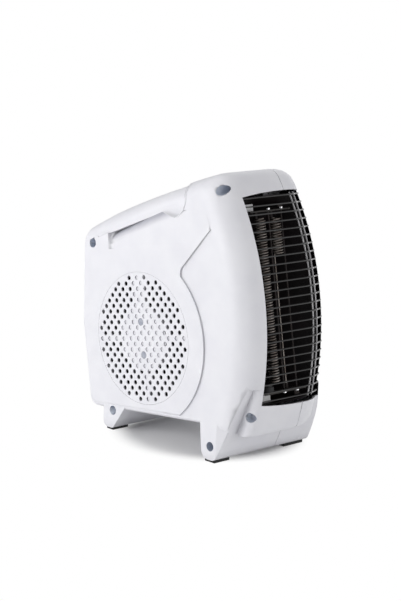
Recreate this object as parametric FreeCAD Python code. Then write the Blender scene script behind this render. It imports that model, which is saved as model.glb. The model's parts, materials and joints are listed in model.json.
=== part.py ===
import FreeCAD, Part
import math
import os

# Stance: the body leans back about the intake axis, the two foot beams stand square on the floor
lean = 10.72
axis_height = 95.4
near_x = -59.3
far_x = 59.0
seam_x = 15.5
seam_gap = 0.5
wall = 2.5
fit = 0.3

# Cutters run on past a face by over, and through a panel by punch to each side
over = 1.0
punch = 9.0
beyond = 170.0

# Side outline in the leaned frame: p forwards and q upwards from the intake axis
bow_radius = 261.0
bow_p = -125.5
bow_q = 28.0
bow_swing = 60.0
crown_rear = (-59.0, 107.5)
crown_mid = (21.0, 128.0)
crown_front = (105.0, 141.3)
back_top = (-75.0, 95.0)
back_bend = (-88.5, 16.0)
back_foot = (-88.5, -65.0)
belly_front = (75.0, -79.5)
chin_front = (104.0, -91.0)
corner_radii = (15.0, 10.0, 40.0, 8.0, 0.0, 8.0)

# How far the front, top, rear and underside draw in at the near and at the far panel
near_depth = 25.0
near_draw = (25.0, 14.0, 8.0, 6.0)
far_draw = (43.0, 16.0, 10.0, 8.0)
round_steps = 8

# Raised pad with the intake
pad_rise = 1.7
pad_radius = 79.0
pad_slope = 2.5
pad_root = 0.5
pad_turns = (-61.4, 43.0)
pad_knee = ((58.2, 59.2), (62.7, 64.0))
pad_tip = (124.0, 112.5)
pad_tail = (40.0, -130.0)
pad_fade = (84.0, 108.0)
grille_radius = 60.0
grille_depth = 2.0
grille_web = 1.0
grille_ledge = 2.6
grille_fit = 0.2
hole_pitch = 5.0
hole_size = 4.0
hole_reach = 11.2
hole_sides = 6
motor_screw_row = 3
motor_head = 6.2
motor_head_sunk = 0.1
motor_head_thick = 0.5
motor_shank = 3.0
motor_screw_length = 6.0

# Front opening and its wire guard
open_near = -37.0
open_far = 50.0
open_top = (118.3, 121.3, 119.4)
open_bottom = (-62.0, -66.2, -65.4)
open_back = 86.0
open_deep = 80.0
wire_size = 1.4
wire_pitch = 7.35
wire_first = -59.5
wire_count = 25
wire_clear = 0.8
wire_sides = 6
wire_aside = FreeCAD.Vector(0.3, 0.2, 1.0)
wire_over = 2.0
wire_sink = 0.25
wire_near_end = -38.8
wire_far_turn = 64.0
upright_near = -38.3
upright_turns = (11.5, 21.0, 61.0)

# Grip: a bar along the top with a finger scoop on each side
grip_rear = -45.0
grip_turn = 9.54
grip_slope = 13.4
bar_p = 10.0
bar_q = 107.0
bar_bend = 30.0
bar_rear = 3.0
bar_lip = ((56.0, -1.0), (71.0, 16.0), (68.0, 27.0))
grip_inner = 20.0
grip_reach = 80.0
scoop_rear = -34.0
scoop_low = 82.0
scoop_round = 14.0
scoop_angle = 45.0
scoop_turn = 13.0
scoop_tall = 60.0
scoop_long = 110.0

# Foot beams, in the standing frame
beam_base = 3.0
front_beam = ((-73.9, 62.0), (-79.6, 3.0), (-96.0, 3.0), (-120.8, 62.0))
front_beam_rounds = (9.0, 6.0)
front_beam_turn = 25.0
front_beam_curve = 23.0
beam_reach = 60.0
beam_spare = 20.0
chin_x = -44.0
chin_round = 8.0
chin_top = 72.0
rear_beam = ((51.6, 36.0), (51.6, 3.0), (38.7, 3.0), (15.4, 36.0))
rear_beam_rounds = (6.0, 3.0)
foot_in = 2.8
foot_round = 0.8
foot_lengths = (18.5, 24.5)
front_foot = (-93.4, -81.5)
rear_foot = (41.0, 49.6)

# Shell screws: place in the leaned frame and how deep the head sits behind the near panel
screw_places = ((109.5, 126.0), (110.3, -71.4), (-56.0, 88.4), (-52.3, -66.9), (73.4, -95.5))
well_size = 8.6
well_depth = 24.0
well_floor = 4.0
screw_head = 7.4
screw_head_thick = 2.4
screw_shank = 2.9
screw_hole = 4.0
boss_size = 12.0
neck_size = 9.0
boss_reach = 12.0

# Lip of the far cover behind the seam
lip_reach = 5.0
lip_thick = 1.6
lip_root = 2.0
lip_hold = 1.0
lip_clear = 0.5

# Blower
wheel_radius = 52.0
wheel_eye = 42.0
wheel_width = 46.0
wheel_near = -46.0
blade_count = 36
blade_thick = 0.9
blade_bend = 9.0
blade_inset = 0.3
blade_sunk = 0.5
half_radian = 28.65
disc_thick = 1.6
hub_size = 11.0
hub_in = 1.5
hub_out = 8.0
nut_radius = 3.2
nut_thick = 2.4
shaft_size = 3.2
shaft_clear = 0.05
shaft_in = 2.6
shaft_past = 3.0
motor_size = 37.0
motor_length = 46.0
can_base = 2.0
can_wall = 1.5
core_in = 11.0
core_out = 8.0
rotor_size = 20.0
rotor_in = 13.0
rotor_out = 10.0
cap_thick = 2.0
cap_boss = 12.0
cap_bush = 8.0
cap_bush_in = 4.0
cap_bush_out = 3.0
can_bush = 10.0
can_bush_long = 6.0
bracket_radius = 30.0
bracket_thick = 2.0
arm_root = 20.0
arm_wide = 14.0
arm_slim = 6.0
arm_clear = 0.2
tongue_angle = -50.0
scroll_start = 58.0
scroll_grow = 12.0
scroll_wall = 1.5
scroll_far = 13.0
scroll_spots = 12
duct_start = 58.0
duct_end = 112.0
duct_top = (76.0, 116.5)
duct_floor = (-51.0, -62.5)
duct_near = (-54.5, -40.0)
duct_far = (13.0, 48.5)
duct_lap = 2.0
duct_past = 30.0
duct_inset = 0.5

# Heating element
element_p = 109.0
plate_top = 104.0
plate_floor = -55.0
plate_thick = 1.2
plate_near = -24.0
plate_far = 26.0
plate_back = 101.0
plate_front = 114.0
post_places = (3.0, 19.0)
post_size = 1.8
coil_places = (-8.0, 11.0)
coil_radius = 5.0
coil_wire = 1.8
coil_turns = 4
coil_lead = 8.0
coil_stub = 2.16
rivet_size = 4.0
rivet_thick = 1.5
hanger_wide = 6.0
hanger_thick = 2.0
hanger_in = 2.0
hanger_gap = 0.1
cutout_in = 7.0
cutout_back = 1.0
cutout_radius = 6.0
cutout_height = 5.0
cutout_cap_radius = 4.5
cutout_cap_height = 7.0

# Controls on the far cover
dial_p = 22.0
thermostat_q = 48.0
selector_q = -18.0
dial_size = 30.0
dial_height = 12.0
dial_gap = 0.8
dial_skirt = 4.0
dial_grip = 21.6
dial_seat = 4.0
ridge_wide = 3.0
ridge_long = 10.5
ridge_sunk = 2.0
ridge_rise = 1.0
spindle_size = 6.0
spindle_hole = 7.5
spindle_in = 14.5
bearing_in = 15.0
thermostat_size = 28.0
thermostat_deep = 18.0
thermostat_base = (24.0, 16.0)
thermostat_half = 11.0
selector_deep = 20.0
selector_half = (15.0, 14.0)
lamp_q = 15.0
lamp_size = 8.0
lamp_in = 8.0
lamp_out = 1.6
lamp_rim = 10.4
lamp_rim_thick = 1.0
rail_p = (-62.0, -34.0)
rail_q = (-24.0, -10.0)
rail_thick = 6.0
clamp_places = (-61.0, -51.5, -42.0)
clamp_wide = 7.0
clamp_x = (14.0, 5.0)
clamp_inset = 1.0
inlet_q = -38.0
inlet_x = 26.0
inlet_size = 12.0
inlet_bore = 3.6
inlet_ends = (-2.4, -0.2, 1.0, 3.4)
inlet_grow = (4.0, -0.2, 3.0)


def at(x, p, q):
    return FreeCAD.Vector(x, -p, q)


def stand(shape):
    placed = shape.copy()
    placed.rotate(FreeCAD.Vector(), FreeCAD.Vector(1, 0, 0), -lean)
    placed.translate(FreeCAD.Vector(0, 0, axis_height))
    return placed


def rod(x0, x1, p, q, size):
    return Part.makeCylinder(size / 2.0, x1 - x0, at(x0, p, q), FreeCAD.Vector(1, 0, 0))


def tube(x0, x1, p, q, outer, inner):
    return rod(x0, x1, p, q, outer).cut(rod(x0 - over, x1 + over, p, q, inner))


def block(x0, x1, p0, p1, q0, q1):
    return Part.makeBox(x1 - x0, p1 - p0, q1 - q0, at(x0, p1, q0))


def polygon(places, x):
    return Part.makePolygon([at(x, p, q) for p, q in places] + [at(x, *places[0])])


def ring_of(sides, x, p, q, radius):
    spots = []
    for k in range(sides + 1):
        turn = 2 * math.pi * k / sides
        spots.append(at(x, p + radius * math.cos(turn), q + radius * math.sin(turn)))
    return Part.makePolygon(spots)


def line(a, b):
    return Part.makeLine(a, b)


def arc(a, mid, b):
    return Part.Arc(a, mid, b).toShape()


# Straight edges through all the given spots
def run_of(spots):
    return [line(spots[i], spots[i + 1]) for i in range(len(spots) - 1)]


def prism(wire, length):
    return Part.Face(wire).extrude(FreeCAD.Vector(length, 0, 0))


# Each side of the outline is an arc (centre and radius) or a line (point and inward direction)
def line_side(a, b):
    run = at(0, *b) - at(0, *a)
    return "line", at(0, *a), FreeCAD.Vector(0, run.z, -run.y).normalize()


def depth(side, point):
    kind, ref, size = side
    if kind == "line":
        return (point - ref).dot(size), size
    out = point - ref
    return size - out.Length, out * (-1.0 / out.Length)


def corner(a, b, depth_a, depth_b, guess):
    point = guess
    for step in range(15):
        has_a, in_a = depth(a, point)
        has_b, in_b = depth(b, point)
        short_a = depth_a - has_a
        short_b = depth_b - has_b
        det = in_a.y * in_b.z - in_a.z * in_b.y
        dy = (short_a * in_b.z - short_b * in_a.z) / det
        dz = (in_a.y * short_b - in_b.y * short_a) / det
        point = point + FreeCAD.Vector(0, dy, dz)
    return point


def outline(x, front, top, rear, bottom, trim):
    crown = Part.Circle(at(0, *crown_rear), at(0, *crown_mid), at(0, *crown_front))
    sides = (("arc", at(0, bow_p, bow_q), bow_radius), ("arc", crown.Center, crown.Radius),
             line_side(back_top, back_bend), line_side(back_bend, back_foot),
             line_side(back_foot, belly_front), line_side(belly_front, chin_front))
    draws = (front, top, rear, rear, bottom, bottom)
    guesses = (crown_front, back_top, back_bend, back_foot, belly_front, chin_front)
    count = len(sides)
    leaves = []
    enters = []
    rounds = []
    for i in range(count):
        j = (i + 1) % count
        radius = max(corner_radii[i] - trim, 1.0) if corner_radii[i] else 0.0
        centre = corner(sides[i], sides[j], draws[i] + radius, draws[j] + radius, at(0, *guesses[i]))
        in_i = depth(sides[i], centre)[1]
        in_j = depth(sides[j], centre)[1]
        leaves.append(centre - in_i * radius)
        enters.append(centre - in_j * radius)
        rounds.append(centre - (in_i + in_j).normalize() * radius)
    edges = []
    for i in range(count):
        kind, ref, size = sides[i]
        start = enters[i - 1]
        end = leaves[i]
        if kind == "line":
            edges.append(line(start, end))
        else:
            mid = ref + ((start + end) * 0.5 - ref).normalize() * (size - draws[i])
            edges.append(arc(start, mid, end))
        if corner_radii[i]:
            edges.append(arc(end, rounds[i], enters[i]))
    wire = Part.Wire(edges)
    wire.translate(FreeCAD.Vector(x, 0, 0))
    return wire


def rounded_end(flat_x, inner_x, draw, trim):
    sections = []
    for step in range(round_steps + 1):
        turn = math.radians(90.0 * step / round_steps)
        x = flat_x + (inner_x - flat_x) * (1.0 - math.cos(turn))
        insets = [trim + (amount - trim) * (1.0 - math.sin(turn)) for amount in draw]
        sections.append(outline(x, *insets, trim))
    return Part.makeLoft(sections, True, True)


def flat_face(shape, x):
    return [f for f in shape.Faces if f.BoundBox.XLength < 0.01 and abs(f.BoundBox.XMin - x) < 0.01][0]


def near_body(trim, reach):
    straight_x = near_x + near_depth
    end = rounded_end(near_x + trim, straight_x, near_draw, trim)
    return end.fuse(flat_face(end, straight_x).extrude(FreeCAD.Vector(reach - straight_x, 0, 0)))


def far_body(trim, reach):
    start = seam_x + seam_gap
    end = rounded_end(far_x - trim, start, far_draw, trim)
    if reach < start:
        end = end.fuse(flat_face(end, start).extrude(FreeCAD.Vector(reach - start, 0, 0)))
    return end


# Foot beams: four sided bars with rounded lower edges
def beam(places, rounds, x0, x1, trim):
    (rear_top, rear_low, front_low, front_top) = places
    wire = Part.makePolygon([FreeCAD.Vector(x0, y, z) for y, z in places + (rear_top,)])
    solid = prism(wire, x1 - x0)
    for (y, z), radius in ((rear_low, rounds[0]), (front_low, rounds[1])):
        edges = [e for e in solid.Edges if e.BoundBox.XLength > 1 and
                 abs(e.BoundBox.YMin - y) < 0.1 and abs(e.BoundBox.ZMin - z) < 0.1]
        solid = solid.makeFillet(radius, edges)
    if trim:
        solid = flat_face(solid, x0).makeOffset2D(-trim).extrude(FreeCAD.Vector(x1 - x0, 0, 0))
    return solid


# The front beam's near end turns in towards the bowed front, its far end follows the cover's round corner
def beam_end(side, trim):
    y = front_beam[2][0] - over
    front = y - beam_reach
    if side < 0:
        turn = math.radians(front_beam_turn)
        edge = near_x + trim / math.cos(turn)
        plan = [(edge - beam_spare, y), (edge, y), (edge + math.tan(turn) * beam_reach, front),
                (edge - beam_spare, front)]
        wire = Part.makePolygon([FreeCAD.Vector(x, along, -over) for x, along in plan + plan[:1]])
    else:
        radius = front_beam_curve - trim
        middle = far_x - front_beam_curve
        half = math.sqrt(0.5)
        plan = [(far_x + beam_spare, y), (middle + radius, y), (middle + radius * half, y - radius * half),
                (middle, y - radius), (middle, front), (far_x + beam_spare, front)]
        spots = [FreeCAD.Vector(x, along, -over) for x, along in plan]
        wire = Part.Wire([line(spots[0], spots[1]), arc(*spots[1:4])] + run_of(spots[3:] + spots[:1]))
    return Part.Face(wire).extrude(FreeCAD.Vector(0, 0, chin_top + beam_spare))


# Solid behind the bowed front: a section across the front, turned about the bow's centre
def bowed(near_edges, near_end, far_end, far_edges):
    edges = near_edges + [line(near_end, far_end)] + far_edges
    face = Part.Face(Part.Wire(edges))
    centre = at(0, bow_p, bow_q)
    along = FreeCAD.Vector(1, 0, 0)
    face.rotate(centre, along, -bow_swing)
    return face.revolve(centre, along, 2 * bow_swing)


def bow_spot(x, radius):
    return at(x, bow_p + radius, bow_q)


# The chin starts further in than the panel: what stands before the front beam's near end goes
def chin_cutter(trim):
    low = front_beam[2]
    high = front_beam[3]
    run = (high[0] - low[0]) / (high[1] - low[1])
    back = trim * math.sqrt(1 + run * run)
    base = -punch
    places = [(low[0] + run * (z - low[1]) + back, z) for z in (base, chin_top)]
    places += [(-beyond, chin_top), (-beyond, base)]
    wire = Part.makePolygon([FreeCAD.Vector(near_x - punch, y, z) for y, z in places + places[:1]])
    bend = chin_round - trim
    fall = bow_radius - chin_round
    half = math.sqrt(0.5)
    side = chin_x + chin_round
    near = [bow_spot(side - bend, duct_start), bow_spot(side - bend, fall)]
    turn = bow_spot(side - bend * half, fall + bend * half)
    front = [bow_spot(side, bow_radius - trim), bow_spot(seam_x, bow_radius - trim)]
    end = bow_spot(seam_x, duct_start)
    near_edges = run_of([end] + near) + [arc(near[1], turn, front[0])]
    chin = bowed(near_edges, front[0], front[1], [line(front[1], end)])
    return prism(wire, side - near_x + punch).cut(stand(chin))


def beams(x0, x1, side, trim):
    front = beam(front_beam, front_beam_rounds, x0, x1, trim).cut(beam_end(side, trim))
    return [front, beam(rear_beam, rear_beam_rounds, x0, x1, trim)]


# Grip cutters for one side: what is taken off beside the bar, and the scoop below it
def grip_cutters(side, trim):
    plane = near_x if side < 0 else far_x
    body = near_body(trim, seam_x) if side < 0 else far_body(trim, seam_x)
    body.rotate(at(plane, grip_rear, 0), FreeCAD.Vector(0, 0, 1), -side * grip_turn)
    rise = math.tan(math.radians(grip_slope))
    rear = grip_rear - bar_rear
    bar_front = bar_q + rise * (bar_bend - bar_p)
    under_bar = bar_q + rise * (rear - bar_p)
    lip = [at(0, p, bar_q + up) for p, up in bar_lip]
    edges = run_of([at(0, rear, under_bar), at(0, bar_bend, bar_front), lip[0]]) + [arc(*lip)]
    edges += run_of([lip[2], at(0, bar_lip[2][0], beyond), at(0, rear, beyond), at(0, rear, under_bar)])
    face = Part.Face(Part.Wire(edges))
    if trim:
        face = face.makeOffset2D(trim)
    reach = FreeCAD.Vector(side * grip_reach, 0, 0)
    start = FreeCAD.Vector(side * grip_inner, 0, 0)
    face.translate(start)
    beside = face.extrude(reach).cut(body)
    radius = scoop_round - trim
    ramp = []
    for turn in (0.0, math.radians(scoop_angle) / 2.0, math.radians(scoop_angle)):
        ramp.append((scoop_round - radius * math.cos(turn), scoop_low + radius * math.sin(turn)))
    top = scoop_low + scoop_tall
    ramp.append((ramp[2][0] + (top - ramp[2][1]) * math.tan(math.radians(scoop_angle)), top))
    ramp += [(-grip_inner, top), (-grip_inner, scoop_low)]
    spots = [at(plane - side * inward, scoop_rear - trim, q) for inward, q in ramp]
    edges = [arc(*spots[:3])] + run_of(spots[2:] + spots[:1])
    scoop = Part.Face(Part.Wire(edges)).extrude(at(0, scoop_long, 0))
    scoop.rotate(at(plane, scoop_rear, 0), FreeCAD.Vector(0, 0, 1), side * scoop_turn)
    ends = (scoop_rear - scoop_tall, scoop_rear + scoop_long + scoop_round)
    low = scoop_low - scoop_round
    roof = polygon(((ends[0], bar_q + trim + rise * (ends[0] - bar_p)), (bar_bend, bar_front + trim),
                    (ends[1], bar_front + trim), (ends[1], low), (ends[0], low)), 0)
    roof.translate(start)
    return [beside, scoop.common(Part.Face(roof).extrude(reach))]


# Pad: the flat of the near panel behind the scroll shaped step, a little proud and fading out at the top
def raised_pad():
    top = near_x - pad_rise
    foot = outline(near_x + pad_root, *near_draw, 0)
    crest = outline(top, *[amount + pad_slope for amount in near_draw], 0)
    pad = Part.makeLoft([foot, crest], True, True)
    ends = []
    for degrees in pad_turns:
        turn = math.radians(degrees)
        ends.append(at(0, pad_radius * math.cos(turn), pad_radius * math.sin(turn)))
    knee, bend = [at(0, *place) for place in pad_knee]
    tail = at(0, *pad_tail)
    tip = at(0, *pad_tip)
    edges = [line(tail, ends[0]), arc(ends[0], at(0, pad_radius, 0), ends[1]), arc(ends[1], knee, bend)]
    edges += run_of([bend, tip, at(0, pad_tip[0], beyond), at(0, -beyond, beyond),
                     at(0, -beyond, pad_tail[1]), tail])
    region = Part.Face(Part.Wire(edges))
    region.translate(FreeCAD.Vector(top - over, 0, 0))
    pad = pad.common(region.extrude(FreeCAD.Vector(pad_rise + 2 * over, 0, 0)))
    low, high = pad_fade
    front = top - 2 * over
    slope = ((front, low), (top, low), (near_x, high), (near_x, beyond), (front, beyond), (front, low))
    fade = Part.makePolygon([at(x, beyond, q) for x, q in slope])
    return pad.cut(Part.Face(fade).extrude(FreeCAD.Vector(0, 2 * beyond, 0)))


# Opening in the front: straight ends, gently arched top and floor
def front_cutter():
    mid = (open_near + open_far) / 2.0
    near = [at(open_near, open_back, open_bottom[0]), at(open_near, open_back, open_top[0])]
    far = [at(open_far, open_back, open_top[2]), at(open_far, open_back, open_bottom[2])]
    edges = [line(*near), arc(near[1], at(mid, open_back, open_top[1]), far[0]),
             line(*far), arc(far[1], at(mid, open_back, open_bottom[1]), near[0])]
    return Part.Face(Part.Wire(edges)).extrude(at(0, open_deep, 0))


def joined(shape, pieces):
    for piece in pieces:
        shape = shape.fuse(piece)
    return shape


def carved(shape, cutters):
    for cutter in cutters:
        shape = shape.cut(cutter)
    return shape


# Near shell: panel, half of the beams and of the grip, screw wells and the seat of the intake grille
def make_intake_shell():
    body = stand(near_body(0, seam_x).fuse(raised_pad())).cut(chin_cutter(0))
    outer = joined(body, beams(near_x, seam_x, -1, 0))
    hollow = stand(carved(near_body(wall, seam_x + over), grip_cutters(-1, wall))).cut(chin_cutter(wall))
    shell = carved(outer, [hollow] + beams(near_x + wall, seam_x + over, -1, wall))
    pad_face = near_x - pad_rise
    head_x = near_x + well_depth
    bosses = [stand(rod(pad_face - over, head_x + well_floor, p, q, boss_size)) for p, q in screw_places]
    necks = [stand(rod(head_x, seam_x, p, q, neck_size)) for p, q in screw_places]
    shell = joined(shell, [piece.common(outer) for piece in bosses + necks])
    cutters = [rod(near_x - punch, head_x, p, q, well_size) for p, q in screw_places]
    cutters += [rod(head_x - over, seam_x + over, p, q, screw_hole) for p, q in screw_places]
    cutters.append(rod(pad_face - over, pad_face + grille_depth, 0, 0, 2 * (grille_radius + grille_fit)))
    cutters.append(rod(pad_face, near_x + wall + over, 0, 0, 2 * (grille_radius - grille_ledge)))
    cutters.append(front_cutter())
    cutters += grip_cutters(-1, 0)
    return carved(shell, [stand(cutter) for cutter in cutters])


def even_outline(x, inset):
    return outline(x, inset, inset, inset, inset, wall)


# Far shell: shallow cover with the controls, its tongue reaches behind the seam
def make_control_cover():
    start = seam_x + seam_gap
    outer = joined(stand(far_body(0, start)), beams(start, far_x, 1, 0))
    hollow = carved(far_body(wall, start - 2 * over), grip_cutters(1, wall))
    cutters = [stand(hollow)] + beams(start - over, far_x - wall, 1, wall) + [stand(front_cutter())]
    shell = carved(outer, cutters)
    bosses = [stand(rod(start, far_x - over, p, q, neck_size)).common(outer) for p, q in screw_places]
    inset = wall + fit
    lip = prism(even_outline(start - lip_reach, inset), lip_reach + over)
    lip = lip.cut(prism(even_outline(start - lip_reach - over, inset + lip_thick), punch))
    joint = prism(even_outline(start, lip_hold), lip_root)
    joint = joint.cut(prism(even_outline(start - over, inset + lip_thick), lip_root + 2 * over))
    gaps = [rod(start - punch, start, p, q, boss_size + 2 * lip_clear) for p, q in screw_places]
    gaps.append(block(start - punch, start + punch, scroll_start, bow_radius, open_bottom[1], open_top[1]))
    lip = carved(lip.fuse(joint), gaps)
    shell = joined(shell, bosses + [stand(piece) for piece in lip.Solids])
    cutters = [rod(start - over, start + boss_reach, p, q, screw_shank) for p, q in screw_places]
    for q, size in ((thermostat_q, spindle_hole), (selector_q, spindle_hole), (lamp_q, lamp_size)):
        cutters.append(rod(far_x - punch, far_x + punch, dial_p, q, size))
    inlet_start = at(inlet_x, back_foot[0] + punch, inlet_q)
    cutters.append(Part.makeCylinder(inlet_size / 2, 2 * punch, inlet_start, at(0, -1, 0)))
    cutters += grip_cutters(1, 0)
    return carved(shell, [stand(cutter) for cutter in cutters])


# Intake grille: round plate with staggered holes, two of them left for the motor screws
def make_intake_grille():
    face_x = near_x - pad_rise
    plate = rod(face_x, face_x + grille_depth, 0, 0, 2 * grille_radius)
    hollow = 2 * (grille_radius - grille_ledge)
    plate = plate.cut(rod(face_x + grille_web, face_x + grille_depth + over, 0, 0, hollow))
    reach = int(hole_reach)
    holes = []
    for row in range(-reach, reach + 1):
        for col in range(-reach, reach + 1):
            if (row + col) % 2 == 0 or math.hypot(row, col) > hole_reach:
                continue
            if col == 0 and abs(row) == motor_screw_row:
                continue
            hole = ring_of(hole_sides, face_x - over, hole_pitch * col, hole_pitch * row, hole_size / 2)
            holes.append(prism(hole, grille_depth + 2 * over))
    seat_x = face_x + motor_head_sunk + motor_head_thick
    for q in motor_screw_places():
        holes.append(rod(face_x - over, seat_x, 0, q, motor_head + 2 * fit))
        holes.append(rod(face_x - over, face_x + punch, 0, q, motor_shank + 2 * grille_fit))
    return plate.cut(holes)


def motor_screw_places():
    return [side * hole_pitch * motor_screw_row for side in (-1, 1)]


def motor_screws():
    face_x = near_x - pad_rise
    head_x = face_x + motor_head_sunk
    screws = []
    for q in motor_screw_places():
        head = rod(head_x, head_x + motor_head_thick, 0, q, motor_head)
        shank = rod(face_x + motor_head_thick, face_x + motor_screw_length, 0, q, motor_shank)
        screws.append(head.fuse(shank))
    return screws


def shell_screws():
    head_x = near_x + well_depth
    end_x = seam_x + seam_gap + boss_reach - over
    screws = []
    for p, q in screw_places:
        head = rod(head_x - screw_head_thick, head_x, p, q, screw_head)
        screws.append(head.fuse(rod(head_x - screw_head_thick / 2, end_x, p, q, screw_shank)))
    return screws


# Guard: bars follow the bowed front and turn round the far edge, uprights behind them
def front_p(q):
    return bow_p + math.sqrt(bow_radius ** 2 - (q - bow_q) ** 2)


def sweep(wire, size):
    tangent = wire.Edges[0].tangentAt(wire.Edges[0].FirstParameter)
    start = wire.Edges[0].valueAt(wire.Edges[0].FirstParameter)
    side = tangent.cross(wire_aside).normalize()
    ring = []
    for k in range(wire_sides + 1):
        spoke = FreeCAD.Rotation(tangent, 360.0 / wire_sides * k).multVec(side)
        ring.append(start + spoke * (size / 2.0))
    shell = Part.BRepOffsetAPI.MakePipeShell(wire)
    shell.add(Part.makePolygon(ring))
    shell.build()
    shell.makeSolid()
    return shell.shape()


def make_guard():
    inset = wall + wire_size / 2.0 + wire_clear
    start = seam_x + seam_gap
    radius = far_draw[0] - inset
    half = math.radians(wire_far_turn / 2.0)
    turn = math.radians(wire_far_turn)
    bars = []
    for k in range(wire_count):
        q = wire_first + wire_pitch * k
        p = front_p(q) - inset
        bend = arc(at(start, p, q),
                   at(start + radius * math.sin(half), p - radius * (1 - math.cos(half)), q),
                   at(start + radius * math.sin(turn), p - radius * (1 - math.cos(turn)), q))
        bars.append(sweep(Part.Wire([line(at(wire_near_end, p, q), at(start, p, q)), bend]), wire_size))
    low = wire_first - wire_over
    high = wire_first + wire_pitch * (wire_count - 1) + wire_over
    behind = inset + wire_size - wire_sink
    reach = radius - wire_size + wire_sink
    spots = [(upright_near, behind)]
    for degrees in upright_turns:
        turn = math.radians(degrees)
        spots.append((start + reach * math.sin(turn), behind + reach * (1 - math.cos(turn))))
    for x, back in spots:
        ends = [at(x, front_p(q) - back, q) for q in (low, (low + high) / 2.0, high)]
        bars.append(sweep(Part.Wire([arc(*ends)]), wire_size))
    return bars[0].multiFuse(bars[1:])


# Blower housing: scroll round the wheel, far plate and the duct that widens to the opening
def scroll_outline(x, grow):
    spots = []
    for step in range(scroll_spots + 1):
        travel = step / scroll_spots
        turn = math.radians(tongue_angle - (270.0 + tongue_angle) * travel)
        radius = scroll_start + scroll_grow * travel + grow
        spots.append(at(x, radius * math.cos(turn), radius * math.sin(turn)))
    curve = Part.BSplineCurve()
    curve.interpolate(spots)
    end_p = duct_start + duct_lap
    top = at(x, end_p, duct_top[0] + grow)
    low = at(x, end_p, duct_floor[0] - grow)
    return Part.Wire([curve.toShape()] + run_of([spots[-1], top, low, spots[0]]))


def duct_loft(grow, extra):
    sections = []
    for i, p in ((0, duct_start - extra), (1, duct_end), (1, duct_end + duct_past + extra)):
        sections.append(Part.makePolygon([at(x, p, q) for x, q in (
            (duct_near[i] - grow, duct_floor[i] - grow), (duct_near[i] - grow, duct_top[i] + grow),
            (duct_far[i] + grow, duct_top[i] + grow), (duct_far[i] + grow, duct_floor[i] - grow),
            (duct_near[i] - grow, duct_floor[i] - grow))]))
    return Part.makeLoft(sections, True, True)


# The room behind the guard: the front's own rounding, set back
def front_room(inset):
    near_flat = near_x + near_depth
    far_flat = seam_x + seam_gap
    near_fall = bow_radius - near_draw[0]
    far_fall = bow_radius - far_draw[0]
    near_bend = near_draw[0] - inset
    far_bend = far_draw[0] - inset
    half = math.sqrt(0.5)
    near = [bow_spot(near_x + wall + fit, duct_start), bow_spot(near_x + wall + fit, near_fall),
            bow_spot(near_flat - near_bend, near_fall)]
    far = [bow_spot(far_flat + far_bend, far_fall), bow_spot(far_flat + far_bend, duct_start)]
    near_end = bow_spot(near_flat, bow_radius - inset)
    far_end = bow_spot(far_flat, bow_radius - inset)
    near_turn = bow_spot(near_flat - near_bend * half, near_fall + near_bend * half)
    far_turn = bow_spot(far_flat + far_bend * half, far_fall + far_bend * half)
    near_edges = run_of([far[1]] + near) + [arc(near[2], near_turn, near_end)]
    far_edges = [arc(far_end, far_turn, far[0]), line(*far)]
    return bowed(near_edges, near_end, far_end, far_edges)


def make_blower_scroll():
    near = near_x + wall
    outer = prism(scroll_outline(near, scroll_wall), scroll_far + scroll_wall - near)
    inner = prism(scroll_outline(near - over, 0), scroll_far - near + over)
    mouth = block(near - over, scroll_far, duct_start - over, duct_start + punch, duct_floor[0], duct_top[0])
    scroll = outer.cut([inner, mouth])
    duct = duct_loft(scroll_wall, 0).cut(duct_loft(0, duct_inset))
    duct = duct.common(front_room(wall + 2 * wire_size + wire_clear + fit))
    front = block(near - punch, scroll_far + punch, duct_start, duct_start + punch,
                  duct_floor[0] - punch, duct_top[0] + punch)
    return scroll.cut(front).fuse(duct)


# Drum wheel: forward curved blades between a disc with hub and a thin ring
def make_fan_wheel():
    far = wheel_near + wheel_width
    disc = rod(far, far + disc_thick, 0, 0, 2 * wheel_radius)
    hub = rod(far - hub_in, far + hub_out, 0, 0, hub_size)
    ring = tube(wheel_near, wheel_near + disc_thick, 0, 0, 2 * wheel_radius, 2 * wheel_eye)
    blades = []
    for k in range(blade_count):
        base = 360.0 * k / blade_count
        faces = []
        for side in (1, -1):
            spots = []
            for part in (0.0, 0.5, 1.0):
                radius = wheel_eye + blade_inset + (wheel_radius - wheel_eye - 2 * blade_inset) * part
                half = blade_thick / radius * half_radian
                turn = math.radians(base + blade_bend * part * part + side * half)
                spots.append(at(wheel_near + blade_sunk, radius * math.cos(turn), radius * math.sin(turn)))
            faces.append(spots)
        lead, trail = faces
        wire = Part.Wire([arc(*lead), line(lead[2], trail[2]), arc(*trail[::-1]), line(trail[0], lead[0])])
        blades.append(prism(wire, wheel_width))
    wheel = disc.multiFuse([hub, ring] + blades)
    return wheel.cut(rod(far - punch, far + punch, 0, 0, shaft_size))


# Motor in the eye of the wheel, held by a bracket behind the middle of the grille
def bracket_x():
    return near_x + wall


def make_motor_bracket():
    back = bracket_x()
    front = back + bracket_thick
    reach = scroll_start - arm_clear
    wide = arm_wide / 2
    slim = arm_slim / 2
    boss = rod(near_x - pad_rise + grille_web, back, 0, 0, 2 * bracket_radius)
    plate = rod(back, front, 0, 0, 2 * bracket_radius)
    arms = [block(back, front, -wide, wide, arm_root, reach),
            block(back, front, -slim, slim, -reach, -arm_root),
            block(back, front, arm_root, reach, -slim, slim),
            block(back, front, -reach, -arm_root, -slim, slim)]
    bracket = plate.multiFuse([boss] + arms)
    return bracket.cut([rod(back - punch, back + punch, 0, q, motor_shank) for q in motor_screw_places()])


def motor_near():
    return bracket_x() + bracket_thick


def motor_far():
    return motor_near() + motor_length


def make_motor_can():
    can = rod(motor_near(), motor_far(), 0, 0, motor_size)
    return can.cut(rod(motor_near() + can_base, motor_far() + over, 0, 0, motor_size - 2 * can_wall))


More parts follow.
